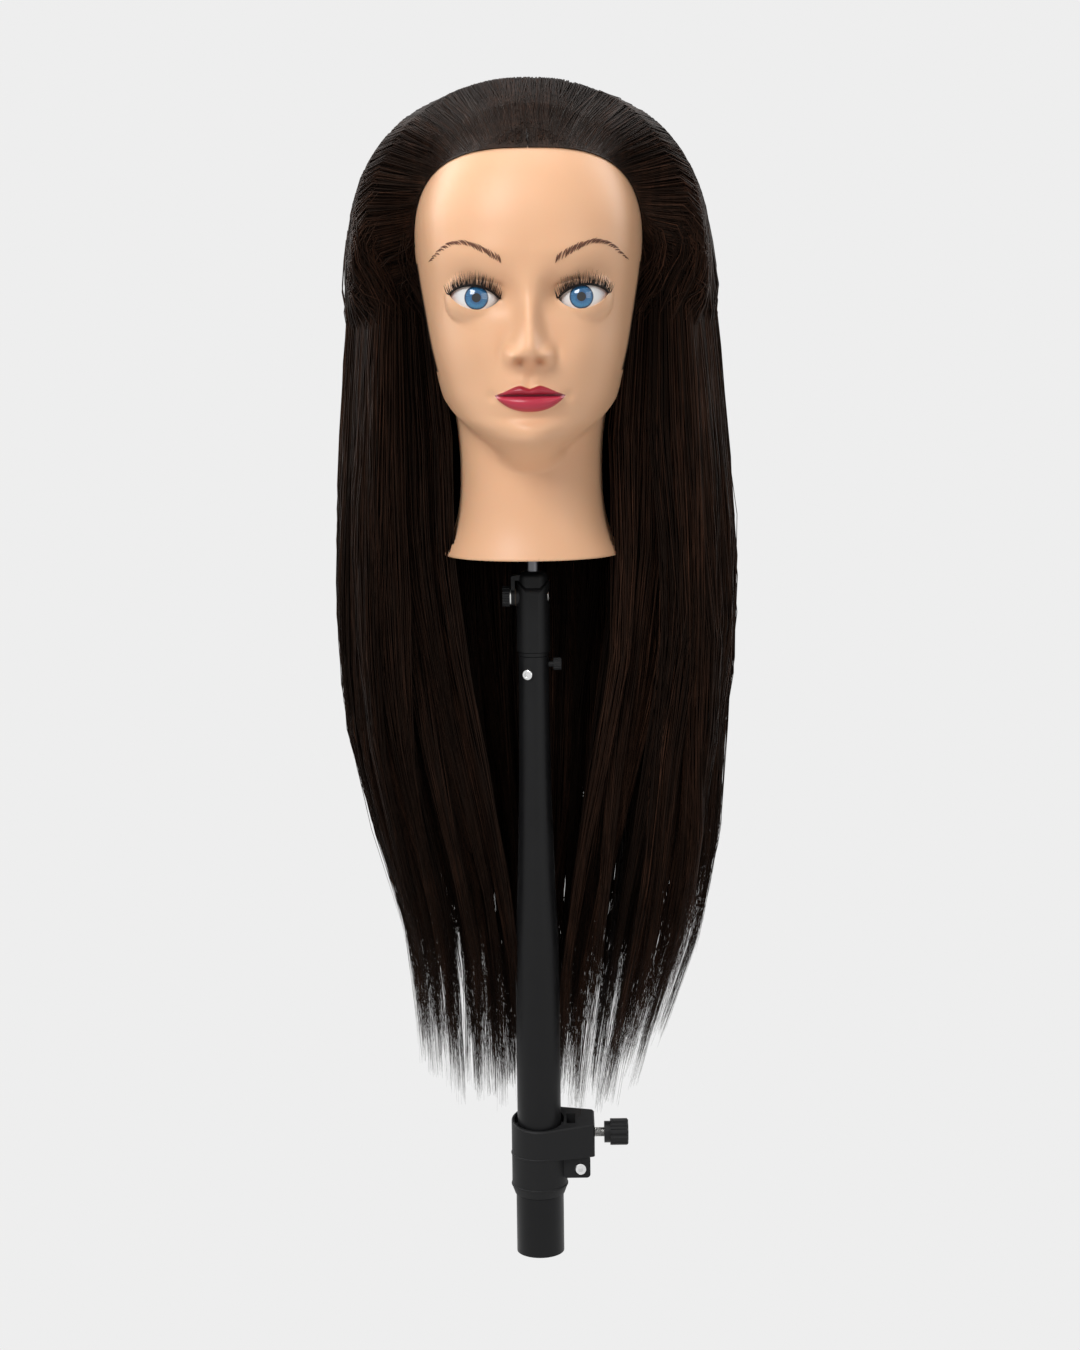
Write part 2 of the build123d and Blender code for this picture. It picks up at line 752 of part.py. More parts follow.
with BuildPart() as hair_cap:
    add(stacked(cap_sections))
    add(hair_clearance, mode=Mode.SUBTRACT)
    # window for the face
    with BuildSketch(Plane.XY.offset(cap_low - 1)):
        with Locations((0, -120)):
            Rectangle(152, 200)
    extrude(amount=hairline_z - cap_low, mode=Mode.SUBTRACT)
save(hair_cap.part, "hair_cap")

for side, sign in (("left", -1), ("right", 1)):
    side_hair = fall(side_sections, sign)
    save(side_hair, f"hair_fall_{side}")

with BuildPart() as hair_fall_back:
    for height, half_width, half_depth, centre_y in back_sections:
        with BuildSketch(Plane.XY.offset(height)):
            with Locations((0, centre_y)):
                Ellipse(half_width, half_depth)
    loft()
    add(hair_clearance, mode=Mode.SUBTRACT)
save(hair_fall_back.part, "hair_fall_back")
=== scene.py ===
import json
import math

import bmesh
import bpy
import numpy as np
from mathutils import Matrix, Vector
from mathutils.bvhtree import BVHTree


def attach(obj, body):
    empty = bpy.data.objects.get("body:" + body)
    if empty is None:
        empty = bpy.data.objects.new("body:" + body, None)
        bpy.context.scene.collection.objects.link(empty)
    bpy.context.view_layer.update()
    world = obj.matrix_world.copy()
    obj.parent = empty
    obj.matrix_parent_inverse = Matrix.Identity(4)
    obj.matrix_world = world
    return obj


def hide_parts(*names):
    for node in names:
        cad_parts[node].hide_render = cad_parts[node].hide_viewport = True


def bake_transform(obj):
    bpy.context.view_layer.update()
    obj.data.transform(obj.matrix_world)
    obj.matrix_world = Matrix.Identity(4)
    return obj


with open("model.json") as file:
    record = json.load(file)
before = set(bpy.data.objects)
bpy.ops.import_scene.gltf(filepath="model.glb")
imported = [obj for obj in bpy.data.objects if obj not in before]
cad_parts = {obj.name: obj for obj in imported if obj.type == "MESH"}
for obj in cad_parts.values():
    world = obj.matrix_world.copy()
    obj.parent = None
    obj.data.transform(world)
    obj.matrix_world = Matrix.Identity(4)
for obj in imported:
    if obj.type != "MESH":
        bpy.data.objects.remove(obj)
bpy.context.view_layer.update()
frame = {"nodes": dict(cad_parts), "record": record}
mm = 0.001  # shapes are worked out in millimetres and placed in metres
print("frame loaded", len(frame["nodes"]), "nodes")


# small helpers


def through(knots, at):  # smooth curve through (place, value) knots
    place, value = np.array(knots, float).T
    slope = np.gradient(value, place)
    at = np.clip(at, place[0], place[-1])
    i = np.clip(np.searchsorted(place, at) - 1, 0, len(place) - 2)
    span = place[i + 1] - place[i]
    t = (at - place[i]) / span
    return ((2 * t**3 - 3 * t**2 + 1) * value[i] + (t**3 - 2 * t**2 + t) * span * slope[i]
            + (3 * t**2 - 2 * t**3) * value[i + 1] + (t**3 - t**2) * span * slope[i + 1])


def ease(low, high, at):  # smooth step from 0 to 1
    t = np.clip((at - low) / (high - low), 0, 1)
    return t * t * (3 - 2 * t)


def bump(x, z, centreX, centreZ, wideX, wideZ):  # a soft round swelling
    return np.exp(-((x - centreX) / wideX) ** 2 - ((z - centreZ) / wideZ) ** 2)


def makeObject(bm, name, material, smooth=True):
    mesh = bpy.data.meshes.new(name)
    bm.to_mesh(mesh)
    bm.free()
    if smooth:
        mesh.shade_smooth()
    piece = bpy.data.objects.new(name, mesh)
    bpy.context.scene.collection.objects.link(piece)
    if material:
        mesh.materials.append(material)
    return piece


def addMask(piece, name, values):  # one number per vertex, read by a material
    layer = piece.data.attributes.new(name, "FLOAT", "POINT")
    layer.data.foreach_set("value", np.asarray(values, np.float32))


def coordinates(mesh):
    flat = np.empty(len(mesh.vertices) * 3, np.float32)
    mesh.vertices.foreach_get("co", flat)
    return flat.reshape(-1, 3).astype(float)


# node helpers


def newMaterial(name):
    material = bpy.data.materials.new(name)
    material.use_nodes = True
    nodes = material.node_tree.nodes
    return material, nodes, material.node_tree.links, nodes["Principled BSDF"]


def math2(nodes, links, operation, a, b=None, c=None):
    node = nodes.new("ShaderNodeMath")
    node.operation = operation
    for socket, value in zip(node.inputs, (a, b, c)):
        if value is None:
            continue
        if isinstance(value, (int, float)):
            socket.default_value = value
        else:
            links.new(value, socket)
    return node.outputs[0]


def mixColour(nodes, links, factor, a, b):
    node = nodes.new("ShaderNodeMix")
    node.data_type = "RGBA"
    for socket, value in ((node.inputs["Factor"], factor), (node.inputs[6], a), (node.inputs[7], b)):
        if isinstance(value, (int, float)):
            socket.default_value = value
        elif isinstance(value, tuple):
            socket.default_value = (*value, 1)
        else:
            links.new(value, socket)
    return node.outputs[2]


def remap(nodes, links, value, low, high, toLow=0.0, toHigh=1.0):
    node = nodes.new("ShaderNodeMapRange")
    node.interpolation_type = "SMOOTHSTEP"
    links.new(value, node.inputs["Value"])
    for socket, number in zip(("From Min", "From Max", "To Min", "To Max"), (low, high, toLow, toHigh)):
        node.inputs[socket].default_value = number
    return node.outputs["Result"]


def noiseOn(nodes, links, vector, scale, detail=3.0, roughness=0.5):
    node = nodes.new("ShaderNodeTexNoise")
    node.inputs["Scale"].default_value = scale
    node.inputs["Detail"].default_value = detail
    node.inputs["Roughness"].default_value = roughness
    links.new(vector, node.inputs["Vector"])
    return node.outputs["Fac"]


def objectSpace(nodes, links, scale=(1, 1, 1), centre=(0, 0, 0)):
    coordinate = nodes.new("ShaderNodeTexCoord")
    mapping = nodes.new("ShaderNodeMapping")
    mapping.inputs["Location"].default_value = [-c * s for c, s in zip(centre, scale)]
    mapping.inputs["Scale"].default_value = scale
    links.new(coordinate.outputs["Object"], mapping.inputs["Vector"])
    return mapping.outputs["Vector"]


def bumpFrom(nodes, links, height, strength, distance, shader):
    node = nodes.new("ShaderNodeBump")
    node.inputs["Strength"].default_value = strength
    node.inputs["Distance"].default_value = distance
    links.new(height, node.inputs["Height"])
    links.new(node.outputs["Normal"], shader.inputs["Normal"])


def readMask(nodes, name):
    node = nodes.new("ShaderNodeAttribute")
    node.attribute_name = name
    return node.outputs["Fac"]


# camera, lights, floor

studio = {
    "distance": 1.530, "eyeHeight": 0.6166, "tilt": 8.7, "roll": 0.675, "sideways": 0.0039,
    "lens": 65.0, "paleGrey": 0.855, "ambient": 0.30, "floorDrop": 0.40, "floorHalf": 6,
    "lamps": {  # place, aim, size and power
        "keyLeft": ((-0.85, -1.55, 1.75), (0, 0, 0.58), (0.9, 0.9), 30),
        "fillRight": ((1.35, -1.5, 0.9), (0, 0, 0.58), (0.9, 1.2), 5),
        "topSoft": ((0, -0.15, 1.95), (0, 0.05, 0.7), (1.0, 0.8), 8),
        "rimLeft": ((-1.35, 0.75, 1.2), (0, 0, 0.5), (0.5, 1.3), 14),
        "rimRight": ((1.35, 0.75, 1.2), (0, 0, 0.5), (0.5, 1.3), 10),
    },
}


def makeCamera():
    camera = bpy.data.objects.new("camera", bpy.data.cameras.new("camera"))
    camera.data.lens = studio["lens"]
    camera.data.sensor_width = 36.0
    camera.data.sensor_fit = "AUTO"
    upright = Matrix.Rotation(math.radians(90 - studio["tilt"]), 4, "X")
    roll = Matrix.Rotation(math.radians(-studio["roll"]), 4, "Z")
    place = Matrix.Translation((studio["sideways"], -studio["distance"], studio["eyeHeight"]))
    camera.matrix_world = place @ upright @ roll
    bpy.context.scene.collection.objects.link(camera)
    bpy.context.scene.camera = camera


def areaLight(name, at, aim, size, power):
    data = bpy.data.lights.new(name, "AREA")
    data.shape = "RECTANGLE"
    data.size, data.size_y = size
    data.energy = power
    lamp = bpy.data.objects.new(name, data)
    lamp.location = at
    lamp.rotation_euler = (Vector(aim) - Vector(at)).to_track_quat("-Z", "Y").to_euler()
    bpy.context.scene.collection.objects.link(lamp)


def seenDirectly(nodes, links):  # 1 for what the camera, gloss and glass see
    path = nodes.new("ShaderNodeLightPath")
    first = math2(nodes, links, "MAXIMUM", path.outputs["Is Camera Ray"], path.outputs["Is Glossy Ray"])
    return math2(nodes, links, "MAXIMUM", first, path.outputs["Is Transmission Ray"])


def makeWorld():
    world = bpy.data.worlds.new("studio")
    bpy.context.scene.world = world
    world.use_nodes = True
    nodes, links = world.node_tree.nodes, world.node_tree.links
    background = nodes["Background"]
    grey = studio["paleGrey"]
    background.inputs["Color"].default_value = (grey, grey, grey, 1)
    seen = seenDirectly(nodes, links)
    strength = math2(nodes, links, "MULTIPLY_ADD", seen, 1 - studio["ambient"], studio["ambient"])
    links.new(strength, background.inputs["Strength"])


def makeFloor():
    material, nodes, links, shader = newMaterial("paleFloor")
    grey = studio["paleGrey"]
    shader.inputs["Base Color"].default_value = (grey, grey, grey, 1)
    shader.inputs["Roughness"].default_value = 0.9
    glow = nodes.new("ShaderNodeEmission")
    glow.inputs["Color"].default_value = (grey, grey, grey, 1)
    mix = nodes.new("ShaderNodeMixShader")
    links.new(seenDirectly(nodes, links), mix.inputs["Fac"])
    links.new(shader.outputs["BSDF"], mix.inputs[1])
    links.new(glow.outputs["Emission"], mix.inputs[2])
    links.new(mix.outputs["Shader"], nodes["Material Output"].inputs["Surface"])
    bm = bmesh.new()
    bmesh.ops.create_grid(bm, x_segments=1, y_segments=1, size=studio["floorHalf"])
    bmesh.ops.translate(bm, verts=bm.verts, vec=(0, 0, -studio["floorDrop"]))
    makeObject(bm, "floor", material, smooth=False)


def makeStudio():
    bpy.context.scene.view_settings.view_transform = "Standard"
    makeCamera()
    makeWorld()
    makeFloor()
    for name, lamp in studio["lamps"].items():
        areaLight(name, *lamp)
    print("studio ready")


makeStudio()


# head: one sculpted skin, rows of points round the head at each height

face = {
    "eyeX": 30.8, "eyeZ": 619.5, "ballRadius": 18.0, "ballY": -66.5, "lidThickness": 1.3,
    "innerCorner": (-13.3, -1.3), "outerCorner": (15.8, 1.6), "upperRise": 6.3, "lowerDrop": 7.0,
    "mouthHalf": 21.0, "partingZ": 562.3, "peakRise": 5.9, "dipRise": 4.1, "lowerLip": 9.6,
    "hairlineHalf": 69.5, "hairlineCentre": 640.0, "hairlineRise": 65.5, "hairlinePower": 3.2,
    "centreY": 5.0, "columns": 300,
}
skullKnots = {
    "width": ((505, 30), (514, 31), (520, 30), (526, 27), (530, 29), (536, 37), (546, 48), (556, 53.5),
              (572, 58), (592, 62.5), (610, 65.5), (630, 68.5), (650, 70.5), (668, 70.5), (688, 66),
              (705, 58), (720, 47), (733, 33), (741, 18), (745, 0.02)),
    "front": ((505, 40), (514, 47), (520, 57), (525, 71), (529, 82), (534, 89), (541, 93), (551, 92),
              (560, 92), (575, 92.5), (590, 93), (605, 94), (620, 96), (640, 99), (656, 100), (680, 96),
              (700, 87), (715, 75), (729, 57), (739, 33), (745, 0.02)),
    "back": ((505, 50), (540, 62), (560, 76), (585, 88), (610, 95), (640, 98), (670, 94), (695, 82),
             (715, 67), (730, 48), (740, 26), (745, 0.02)),
    "square": ((505, 2.0), (530, 2.0), (550, 2.1), (575, 2.25), (620, 2.35), (660, 2.4), (700, 2.2),
               (745, 2.0)),
    "jawAngle": ((505, 18), (520, 24), (530, 34), (540, 52), (550, 72), (562, 100), (580, 150), (600, 215),
                 (745, 215)),
}
neckKnots = {
    "width": ((460, 55.5), (464, 54), (472, 50.5), (484, 47), (498, 45), (515, 44.5), (535, 45.5), (560, 49),
              (600, 50), (700, 20), (745, 0.01)),
    "front": ((460, 53), (464, 51.5), (472, 48.5), (484, 46), (500, 45.5), (520, 46), (560, 48), (600, 40),
              (700, 20), (745, 0.01)),
    "back": ((460, 54), (466, 52), (480, 50), (505, 51), (530, 56), (560, 70), (600, 60), (700, 20),
             (745, 0.01)),
}
noseHeight = ((560, 0), (571, 0.3), (576, 1.6), (579.5, 6.0), (582, 12.0), (585, 17.2), (588.5, 19.6),
              (592, 19.4), (598, 16.6), (606, 11.6), (614, 7.2), (621, 4.2), (629, 2.2), (638, 0.8), (650, 0))
noseWidth = ((560, 10), (577, 9.5), (585, 9.6), (592, 8.6), (602, 6.8), (614, 6.2), (624, 7.4), (640, 12),
             (650, 14))


def lipTop(x):  # height of the upper lip's edge above the parting
    across = np.clip(np.abs(x) / face["mouthHalf"], 0, 1)
    return through(((0, face["dipRise"]), (0.13, face["dipRise"] + 0.9), (0.26, face["peakRise"]),
                    (0.42, 5.2), (0.65, 3.1), (0.85, 1.25), (1.0, 0.05)), across)


def lipBottom(x):  # depth of the lower lip's edge below the parting
    across = np.clip(np.abs(x) / face["mouthHalf"], 0, 1)
    return face["lowerLip"] * np.clip(1 - across**2.3, 0.0003, 1) ** 0.85 + 0.05


def lidEdge(s, upper):  # edge of the eye opening, s from -1 at the nose to 1 at the temple
    (inX, inZ), (outX, outZ) = face["innerCorner"], face["outerCorner"]
    x = (inX + outX) / 2 + (outX - inX) / 2 * s
    base = (inZ + outZ) / 2 + (outZ - inZ) / 2 * s
    arch = np.clip(1 - np.abs(s) ** 2.1, 0, 1)
    rise = face["upperRise"] * arch**0.8 if upper else -face["lowerDrop"] * arch**0.8
    return x, base + rise


def softForward(a, b, blend):  # the more forward of two surfaces, with a soft join
    gap = a - b
    return (a + b - np.sqrt(gap * gap + blend * blend)) / 2


def faceRelief(x, z):  # how far features stand forward of the plain skull
    side = np.abs(x)
    relief = through(noseHeight, z) * np.exp(-(side / through(noseWidth, z)) ** 2.3)
    relief += 7.6 * bump(side, z, 10.0, 585.6, 4.4, 5.0)      # wings of the nose
    relief -= 1.3 * bump(side, z, 16.5, 587.0, 3.0, 6.0)      # crease beside them
    relief -= 4.6 * bump(side, z, 5.6, 581.6, 2.5, 1.9)       # nostrils
    relief -= 6.5 * bump(side, z, 31.0, 622.0, 19.0, 11.0)    # eye sockets
    relief -= 5.0 * bump(side, z, 15.5, 622.0, 6.5, 9.0)      # beside the bridge
    relief += 1.6 * bump(side, z, 30.0, 645.0, 24.0, 8.0)     # brows
    relief += 3.4 * bump(side, z, 37.0, 589.0, 17.0, 17.0)    # cheeks
    relief += 4.2 * bump(side, z, 0.0, 562.0, 24.0, 15.0)     # round of the mouth
    relief -= 0.9 * bump(side, z, 0.0, 572.5, 2.3, 4.0)       # groove under the nose
    relief += 0.5 * bump(side, z, 4.6, 571.5, 1.9, 4.0)
    relief -= 2.2 * bump(side, z, 0.0, 548.8, 15.0, 3.6)      # fold under the lip
    relief += 3.4 * bump(side, z, 0.0, 537.5, 14.0, 8.5)      # chin
    relief -= 1.3 * bump(side, z, 23.0, 561.8, 3.0, 3.0)      # mouth corners
    parting = face["partingZ"]
    inside = ease(1.06, 0.80, side / face["mouthHalf"])
    upper = np.clip((z - parting) / lipTop(x), 0, 1)
    lower = np.clip((parting - z) / lipBottom(x), 0, 1)
    relief += 2.9 * inside * (4 * upper * (1 - upper)) ** 0.75
    relief += 4.3 * inside * (4 * lower * (1 - lower)) ** 0.70
    relief -= 2.4 * inside * np.exp(-((z - parting) / 0.75) ** 2)
    return relief


def skinPoint(phi, z):  # point of the skin at an angle round from the face and a height
    cosine, sine = np.cos(phi), np.sin(phi)
    depth = np.where(cosine > 0, through(skullKnots["front"], z), through(skullKnots["back"], z))
    power = through(skullKnots["square"], z)
    skull = ((np.abs(sine) / through(skullKnots["width"], z)) ** power
             + (np.abs(cosine) / depth) ** power) ** (-1 / power)
    neckDepth = np.where(cosine > 0, through(neckKnots["front"], z), through(neckKnots["back"], z))
    neck = ((np.abs(sine) / through(neckKnots["width"], z)) ** 2.1
            + (np.abs(cosine) / neckDepth) ** 2.1) ** (-1 / 2.1)
    jaw = np.radians(through(skullKnots["jawAngle"], z))
    share = 1 - ease(jaw - 0.42, jaw + 0.22, np.abs(phi))
    above = ease(505, 512, z)
    radius = neck + np.maximum(skull - neck, 0) * share * above
    radius = np.where(z > 700, skull, radius)
    x = radius * sine
    y = face["centreY"] - radius * cosine
    frontal = ease(0.10, 0.45, cosine)
    y = y - faceRelief(x, z) * frontal
    away = ease(0.3, 0.6, cosine)
    dx, dz = np.abs(x) - face["eyeX"], z - face["eyeZ"]
    lidRadius = face["ballRadius"] + face["lidThickness"]
    inBall = np.clip(lidRadius**2 - dx**2 - dz**2, 0.01, None)
    lid = face["ballY"] - np.sqrt(inBall)
    lid = np.where(dx**2 + dz**2 < lidRadius**2, lid, 0.0)
    y = np.where(away > 0, y + (softForward(y, lid, 2.2) - y) * away, y)
    fold = np.exp(-((dz - (10.6 - 0.018 * dx**2)) / 1.0) ** 2) * ease(19, 13, np.abs(dx))
    y = y + 0.9 * fold * away
    return x, y, z


def lidShade(x, z):  # brown shadow painted over the upper lid
    dx, dz = np.abs(x) - face["eyeX"], z - face["eyeZ"]
    near, far = face["innerCorner"][0], face["outerCorner"][0]
    s = np.clip((dx - (near + far) / 2) / ((far - near) / 2), -1.25, 1.25)
    above = dz - lidEdge(s, True)[1]
    return ease(-1.5, 0.6, above) * ease(8.5, 1.5, above) * ease(1.22, 0.85, np.abs(s))


def outsideHairline(x, z):  # over 1 beyond the edge of the hair
    up = np.clip(z - face["hairlineCentre"], 0, None) / face["hairlineRise"]
    power = face["hairlinePower"]
    return ((np.abs(x) / face["hairlineHalf"]) ** power + up**power) ** (1 / power)


def skinMaterial():
    material, nodes, links, shader = newMaterial("vinylSkin")
    place = objectSpace(nodes, links)
    soft = noiseOn(nodes, links, place, 14, 2)
    warm = mixColour(nodes, links, soft, (0.80, 0.455, 0.262), (0.85, 0.50, 0.30))
    separate = nodes.new("ShaderNodeSeparateXYZ")
    links.new(place, separate.inputs["Vector"])
    x, z = separate.outputs["X"], separate.outputs["Z"]
    side = math2(nodes, links, "ABSOLUTE", x)
    across = math2(nodes, links, "DIVIDE", side, face["mouthHalf"] * mm)

    def lipCurve(samples, reach):
        node = nodes.new("ShaderNodeFloatCurve")
        curve = node.mapping.curves[0]
        curve.points[0].location = (0, samples[0] / reach)
        curve.points[1].location = (1, samples[-1] / reach)
        for k, sample in enumerate(samples[1:-1], 1):
            curve.points.new(k / (len(samples) - 1), sample / reach)
        node.mapping.update()
        links.new(across, node.inputs["Value"])
        return math2(nodes, links, "MULTIPLY", node.outputs["Value"], reach * mm)

    steps = np.linspace(0, 1, 15)
    top = lipCurve([float(v) for v in lipTop(steps * face["mouthHalf"])], 12.0)
    bottom = lipCurve([float(v) for v in lipBottom(steps * face["mouthHalf"])], 12.0)
    height = math2(nodes, links, "SUBTRACT", z, face["partingZ"] * mm)
    underTop = remap(nodes, links, math2(nodes, links, "SUBTRACT", top, height), -0.00025, 0.00045)
    overBottom = remap(nodes, links, math2(nodes, links, "ADD", bottom, height), -0.00025, 0.00045)
    inMouth = remap(nodes, links, across, 1.03, 0.985)
    frontSide = remap(nodes, links, separate.outputs["Y"], -0.06, -0.07)
    lips = math2(nodes, links, "MULTIPLY", underTop, overBottom)
    lips = math2(nodes, links, "MULTIPLY", lips, inMouth)
    lips = math2(nodes, links, "MULTIPLY", lips, frontSide)
    # painted light on the lips: the upper lip is painted darker as in shade, the lower lip lighter as lit
    # from above
    upperShare = remap(nodes, links, height, -0.0006, 0.0006)
    crimson = mixColour(nodes, links, upperShare, (0.50, 0.030, 0.062), (0.36, 0.016, 0.036))
    # painted shade: a dark line along the crease where the lips part
    parting = remap(nodes, links, math2(nodes, links, "ABSOLUTE", height), 0.0010, 0.0002)
    parting = math2(nodes, links, "MULTIPLY", parting, 0.75)
    crimson = mixColour(nodes, links, parting, crimson, (0.10, 0.004, 0.010))
    lid = math2(nodes, links, "MULTIPLY", readMask(nodes, "lidShade"), 0.72)
    warm = mixColour(nodes, links, lid, warm, (0.16, 0.075, 0.045))
    # painted shade: the nostril hollows are darkened to a deep red-brown
    nostril = math2(nodes, links, "MULTIPLY", readMask(nodes, "nostril"), 0.75)
    warm = mixColour(nodes, links, nostril, warm, (0.42, 0.14, 0.05))
    # painted shade: the skin under the hair, beyond the hairline and at the sides behind the face, is painted
    # near black
    warm = mixColour(nodes, links, readMask(nodes, "scalp"), warm, (0.006, 0.004, 0.003))
    colour = mixColour(nodes, links, lips, warm, crimson)
    links.new(colour, shader.inputs["Base Color"])
    gloss = math2(nodes, links, "MULTIPLY_ADD", lips, -0.14, 0.44)
    links.new(gloss, shader.inputs["Roughness"])
    shader.inputs["Specular IOR Level"].default_value = 0.42
    shader.inputs["Subsurface Weight"].default_value = 0.16
    shader.inputs["Subsurface Radius"].default_value = (1.0, 0.45, 0.25)
    shader.inputs["Subsurface Scale"].default_value = 0.006
    grain = noiseOn(nodes, links, place, 900, 2)
    bumpFrom(nodes, links, grain, 0.05, 0.0003, shader)
    return material


def makeSkin():
    rows = np.concatenate([np.linspace(460, 505, 34), np.arange(506, 532, 1.0), np.arange(532, 655, 0.85),
                           np.arange(655.5, 716, 1.5), np.linspace(717, 744.9, 26)])
    bm = bmesh.new()
    bmesh.ops.create_grid(bm, x_segments=face["columns"], y_segments=len(rows) - 1, size=1)
    spot = np.array([v.co[:2] for v in bm.verts])
    turn = np.sign(spot[:, 0]) * np.abs(spot[:, 0]) ** 1.45 * math.pi
    level = rows[np.round((spot[:, 1] + 1) / 2 * (len(rows) - 1)).astype(int)]
    x, y, z = skinPoint(turn, level)
    for vertex, place in zip(bm.verts, np.stack([x, y, z], 1) * mm):
        vertex.co = place
    bmesh.ops.remove_doubles(bm, verts=bm.verts, dist=0.00002)
    holes = []
    for f in bm.faces:
        centre = f.calc_center_median() / mm
        if centre.y < -50:
            dx, dz = abs(centre.x) - face["eyeX"] - 1.2, centre.z - face["eyeZ"] + 0.3
            if (dx / 17.6) ** 2 + (dz / 10.6) ** 2 < 1:
                holes.append(f)
    bmesh.ops.delete(bm, geom=holes, context="FACES")
    foot = [e for e in bm.edges if e.is_boundary and max(v.co.z for v in e.verts) < 0.4605]
    wall = bmesh.ops.extrude_edge_only(bm, edges=foot)["geom"]
    ring = [g for g in wall if isinstance(g, bmesh.types.BMVert)]
    aboutAxis = Matrix.Translation((0, -face["centreY"] * mm, 0))
    bmesh.ops.scale(bm, verts=ring, vec=(0.91, 0.91, 1), space=aboutAxis)
    edges = [g for g in wall if isinstance(g, bmesh.types.BMEdge) and all(v in ring for v in g.verts)]
    wall = bmesh.ops.extrude_edge_only(bm, edges=edges)["geom"]
    lip = [g for g in wall if isinstance(g, bmesh.types.BMVert)]
    bmesh.ops.translate(bm, verts=lip, vec=(0, 0, 0.004))
    bmesh.ops.recalc_face_normals(bm, faces=bm.faces)
    skin = makeObject(bm, "head_skin_sculpted", skinMaterial())
    paintMasks(skin, coordinates(skin.data) / mm)
    return skin


def paintMasks(piece, points):
    x, y, z = points.T
    front = ease(-45, -60, y)
    addMask(piece, "lidShade", lidShade(x, z) * front)
    # mask for the painted shade in the nostril hollows
    addMask(piece, "nostril", bump(np.abs(x), z, 5.8, 582.6, 3.2, 2.5) * front)
    edge = outsideHairline(x, z)
    # mask for the painted near-black shade on the skin under the hair: beyond the hairline, and at the sides
    # behind the face where the hair falls
    beyond = ease(0.995, 1.02, edge) * (z > 640) + (z <= 640) * ease(-34, -24, y) * (z > 575)
    addMask(piece, "scalp", np.clip(beyond, 0, 1))


def makeLids():  # fine rings of skin round each eye opening, ending in the lid margins
    count, ringCount = 120, 16
    bm = bmesh.new()
    for sign in (-1, 1):
        grid = bmesh.ops.create_grid(bm, x_segments=count, y_segments=ringCount, size=1)
        verts = grid["verts"]
        spot = np.array([v.co[:2] for v in verts])
        around = (spot[:, 0] + 1) * math.pi
        ring = (spot[:, 1] + 1) / 2
        s = np.cos(around)
        upper = np.sin(around) >= 0
        edgeX, edgeUp = lidEdge(s, True)
        edgeDown = lidEdge(s, False)[1]
        edgeZ = np.where(upper, edgeUp, edgeDown)
        outX, outZ = 1.2 + 18.4 * np.cos(around), -0.3 + 11.4 * np.sin(around)
        margin = 2 / ringCount
        out = np.clip((ring - margin) / (1 - margin), 0, 1) ** 1.25
        x = edgeX + (outX - edgeX) * out
        z = edgeZ + (outZ - edgeZ) * out
        planeX, planeZ = face["eyeX"] + x, face["eyeZ"] + z
        y = surfaceAt(planeX, planeZ) - 0.03 + 0.1 * ease(0.8, 1.0, ring)
        inward = np.clip((margin - ring) / margin, 0, 1)
        y = y + 2.0 * inward
        for vertex, px, py, pz in zip(verts, planeX * sign, y, planeZ):
            vertex.co = (px * mm, py * mm, pz * mm)
    bmesh.ops.remove_doubles(bm, verts=bm.verts, dist=0.00002)
    bmesh.ops.recalc_face_normals(bm, faces=bm.faces)
    lids = makeObject(bm, "eyelids", bpy.data.materials["vinylSkin"])
    if np.array([p.normal.y for p in lids.data.polygons]).mean() > 0:
        lids.data.flip_normals()
    paintMasks(lids, coordinates(lids.data) / mm)
    return lids


def surfaceAt(x, z):  # depth of the skin at a place seen from the front
    phi = np.arctan2(x, 90.0)
    for _ in range(30):
        px = skinPoint(phi, z)[0]
        phi = phi + np.arctan2(x - px, 95.0)
    return skinPoint(phi, z)[1]


skin = makeSkin()
lids = makeLids()
for piece in (skin, lids):
    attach(piece, "head")
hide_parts("head_skin")
print("skin sculpted", len(skin.data.polygons), "faces")


# eyes

eyeball = {"irisRadius": 7.0, "pupilRadius": 2.7, "rings": 72}


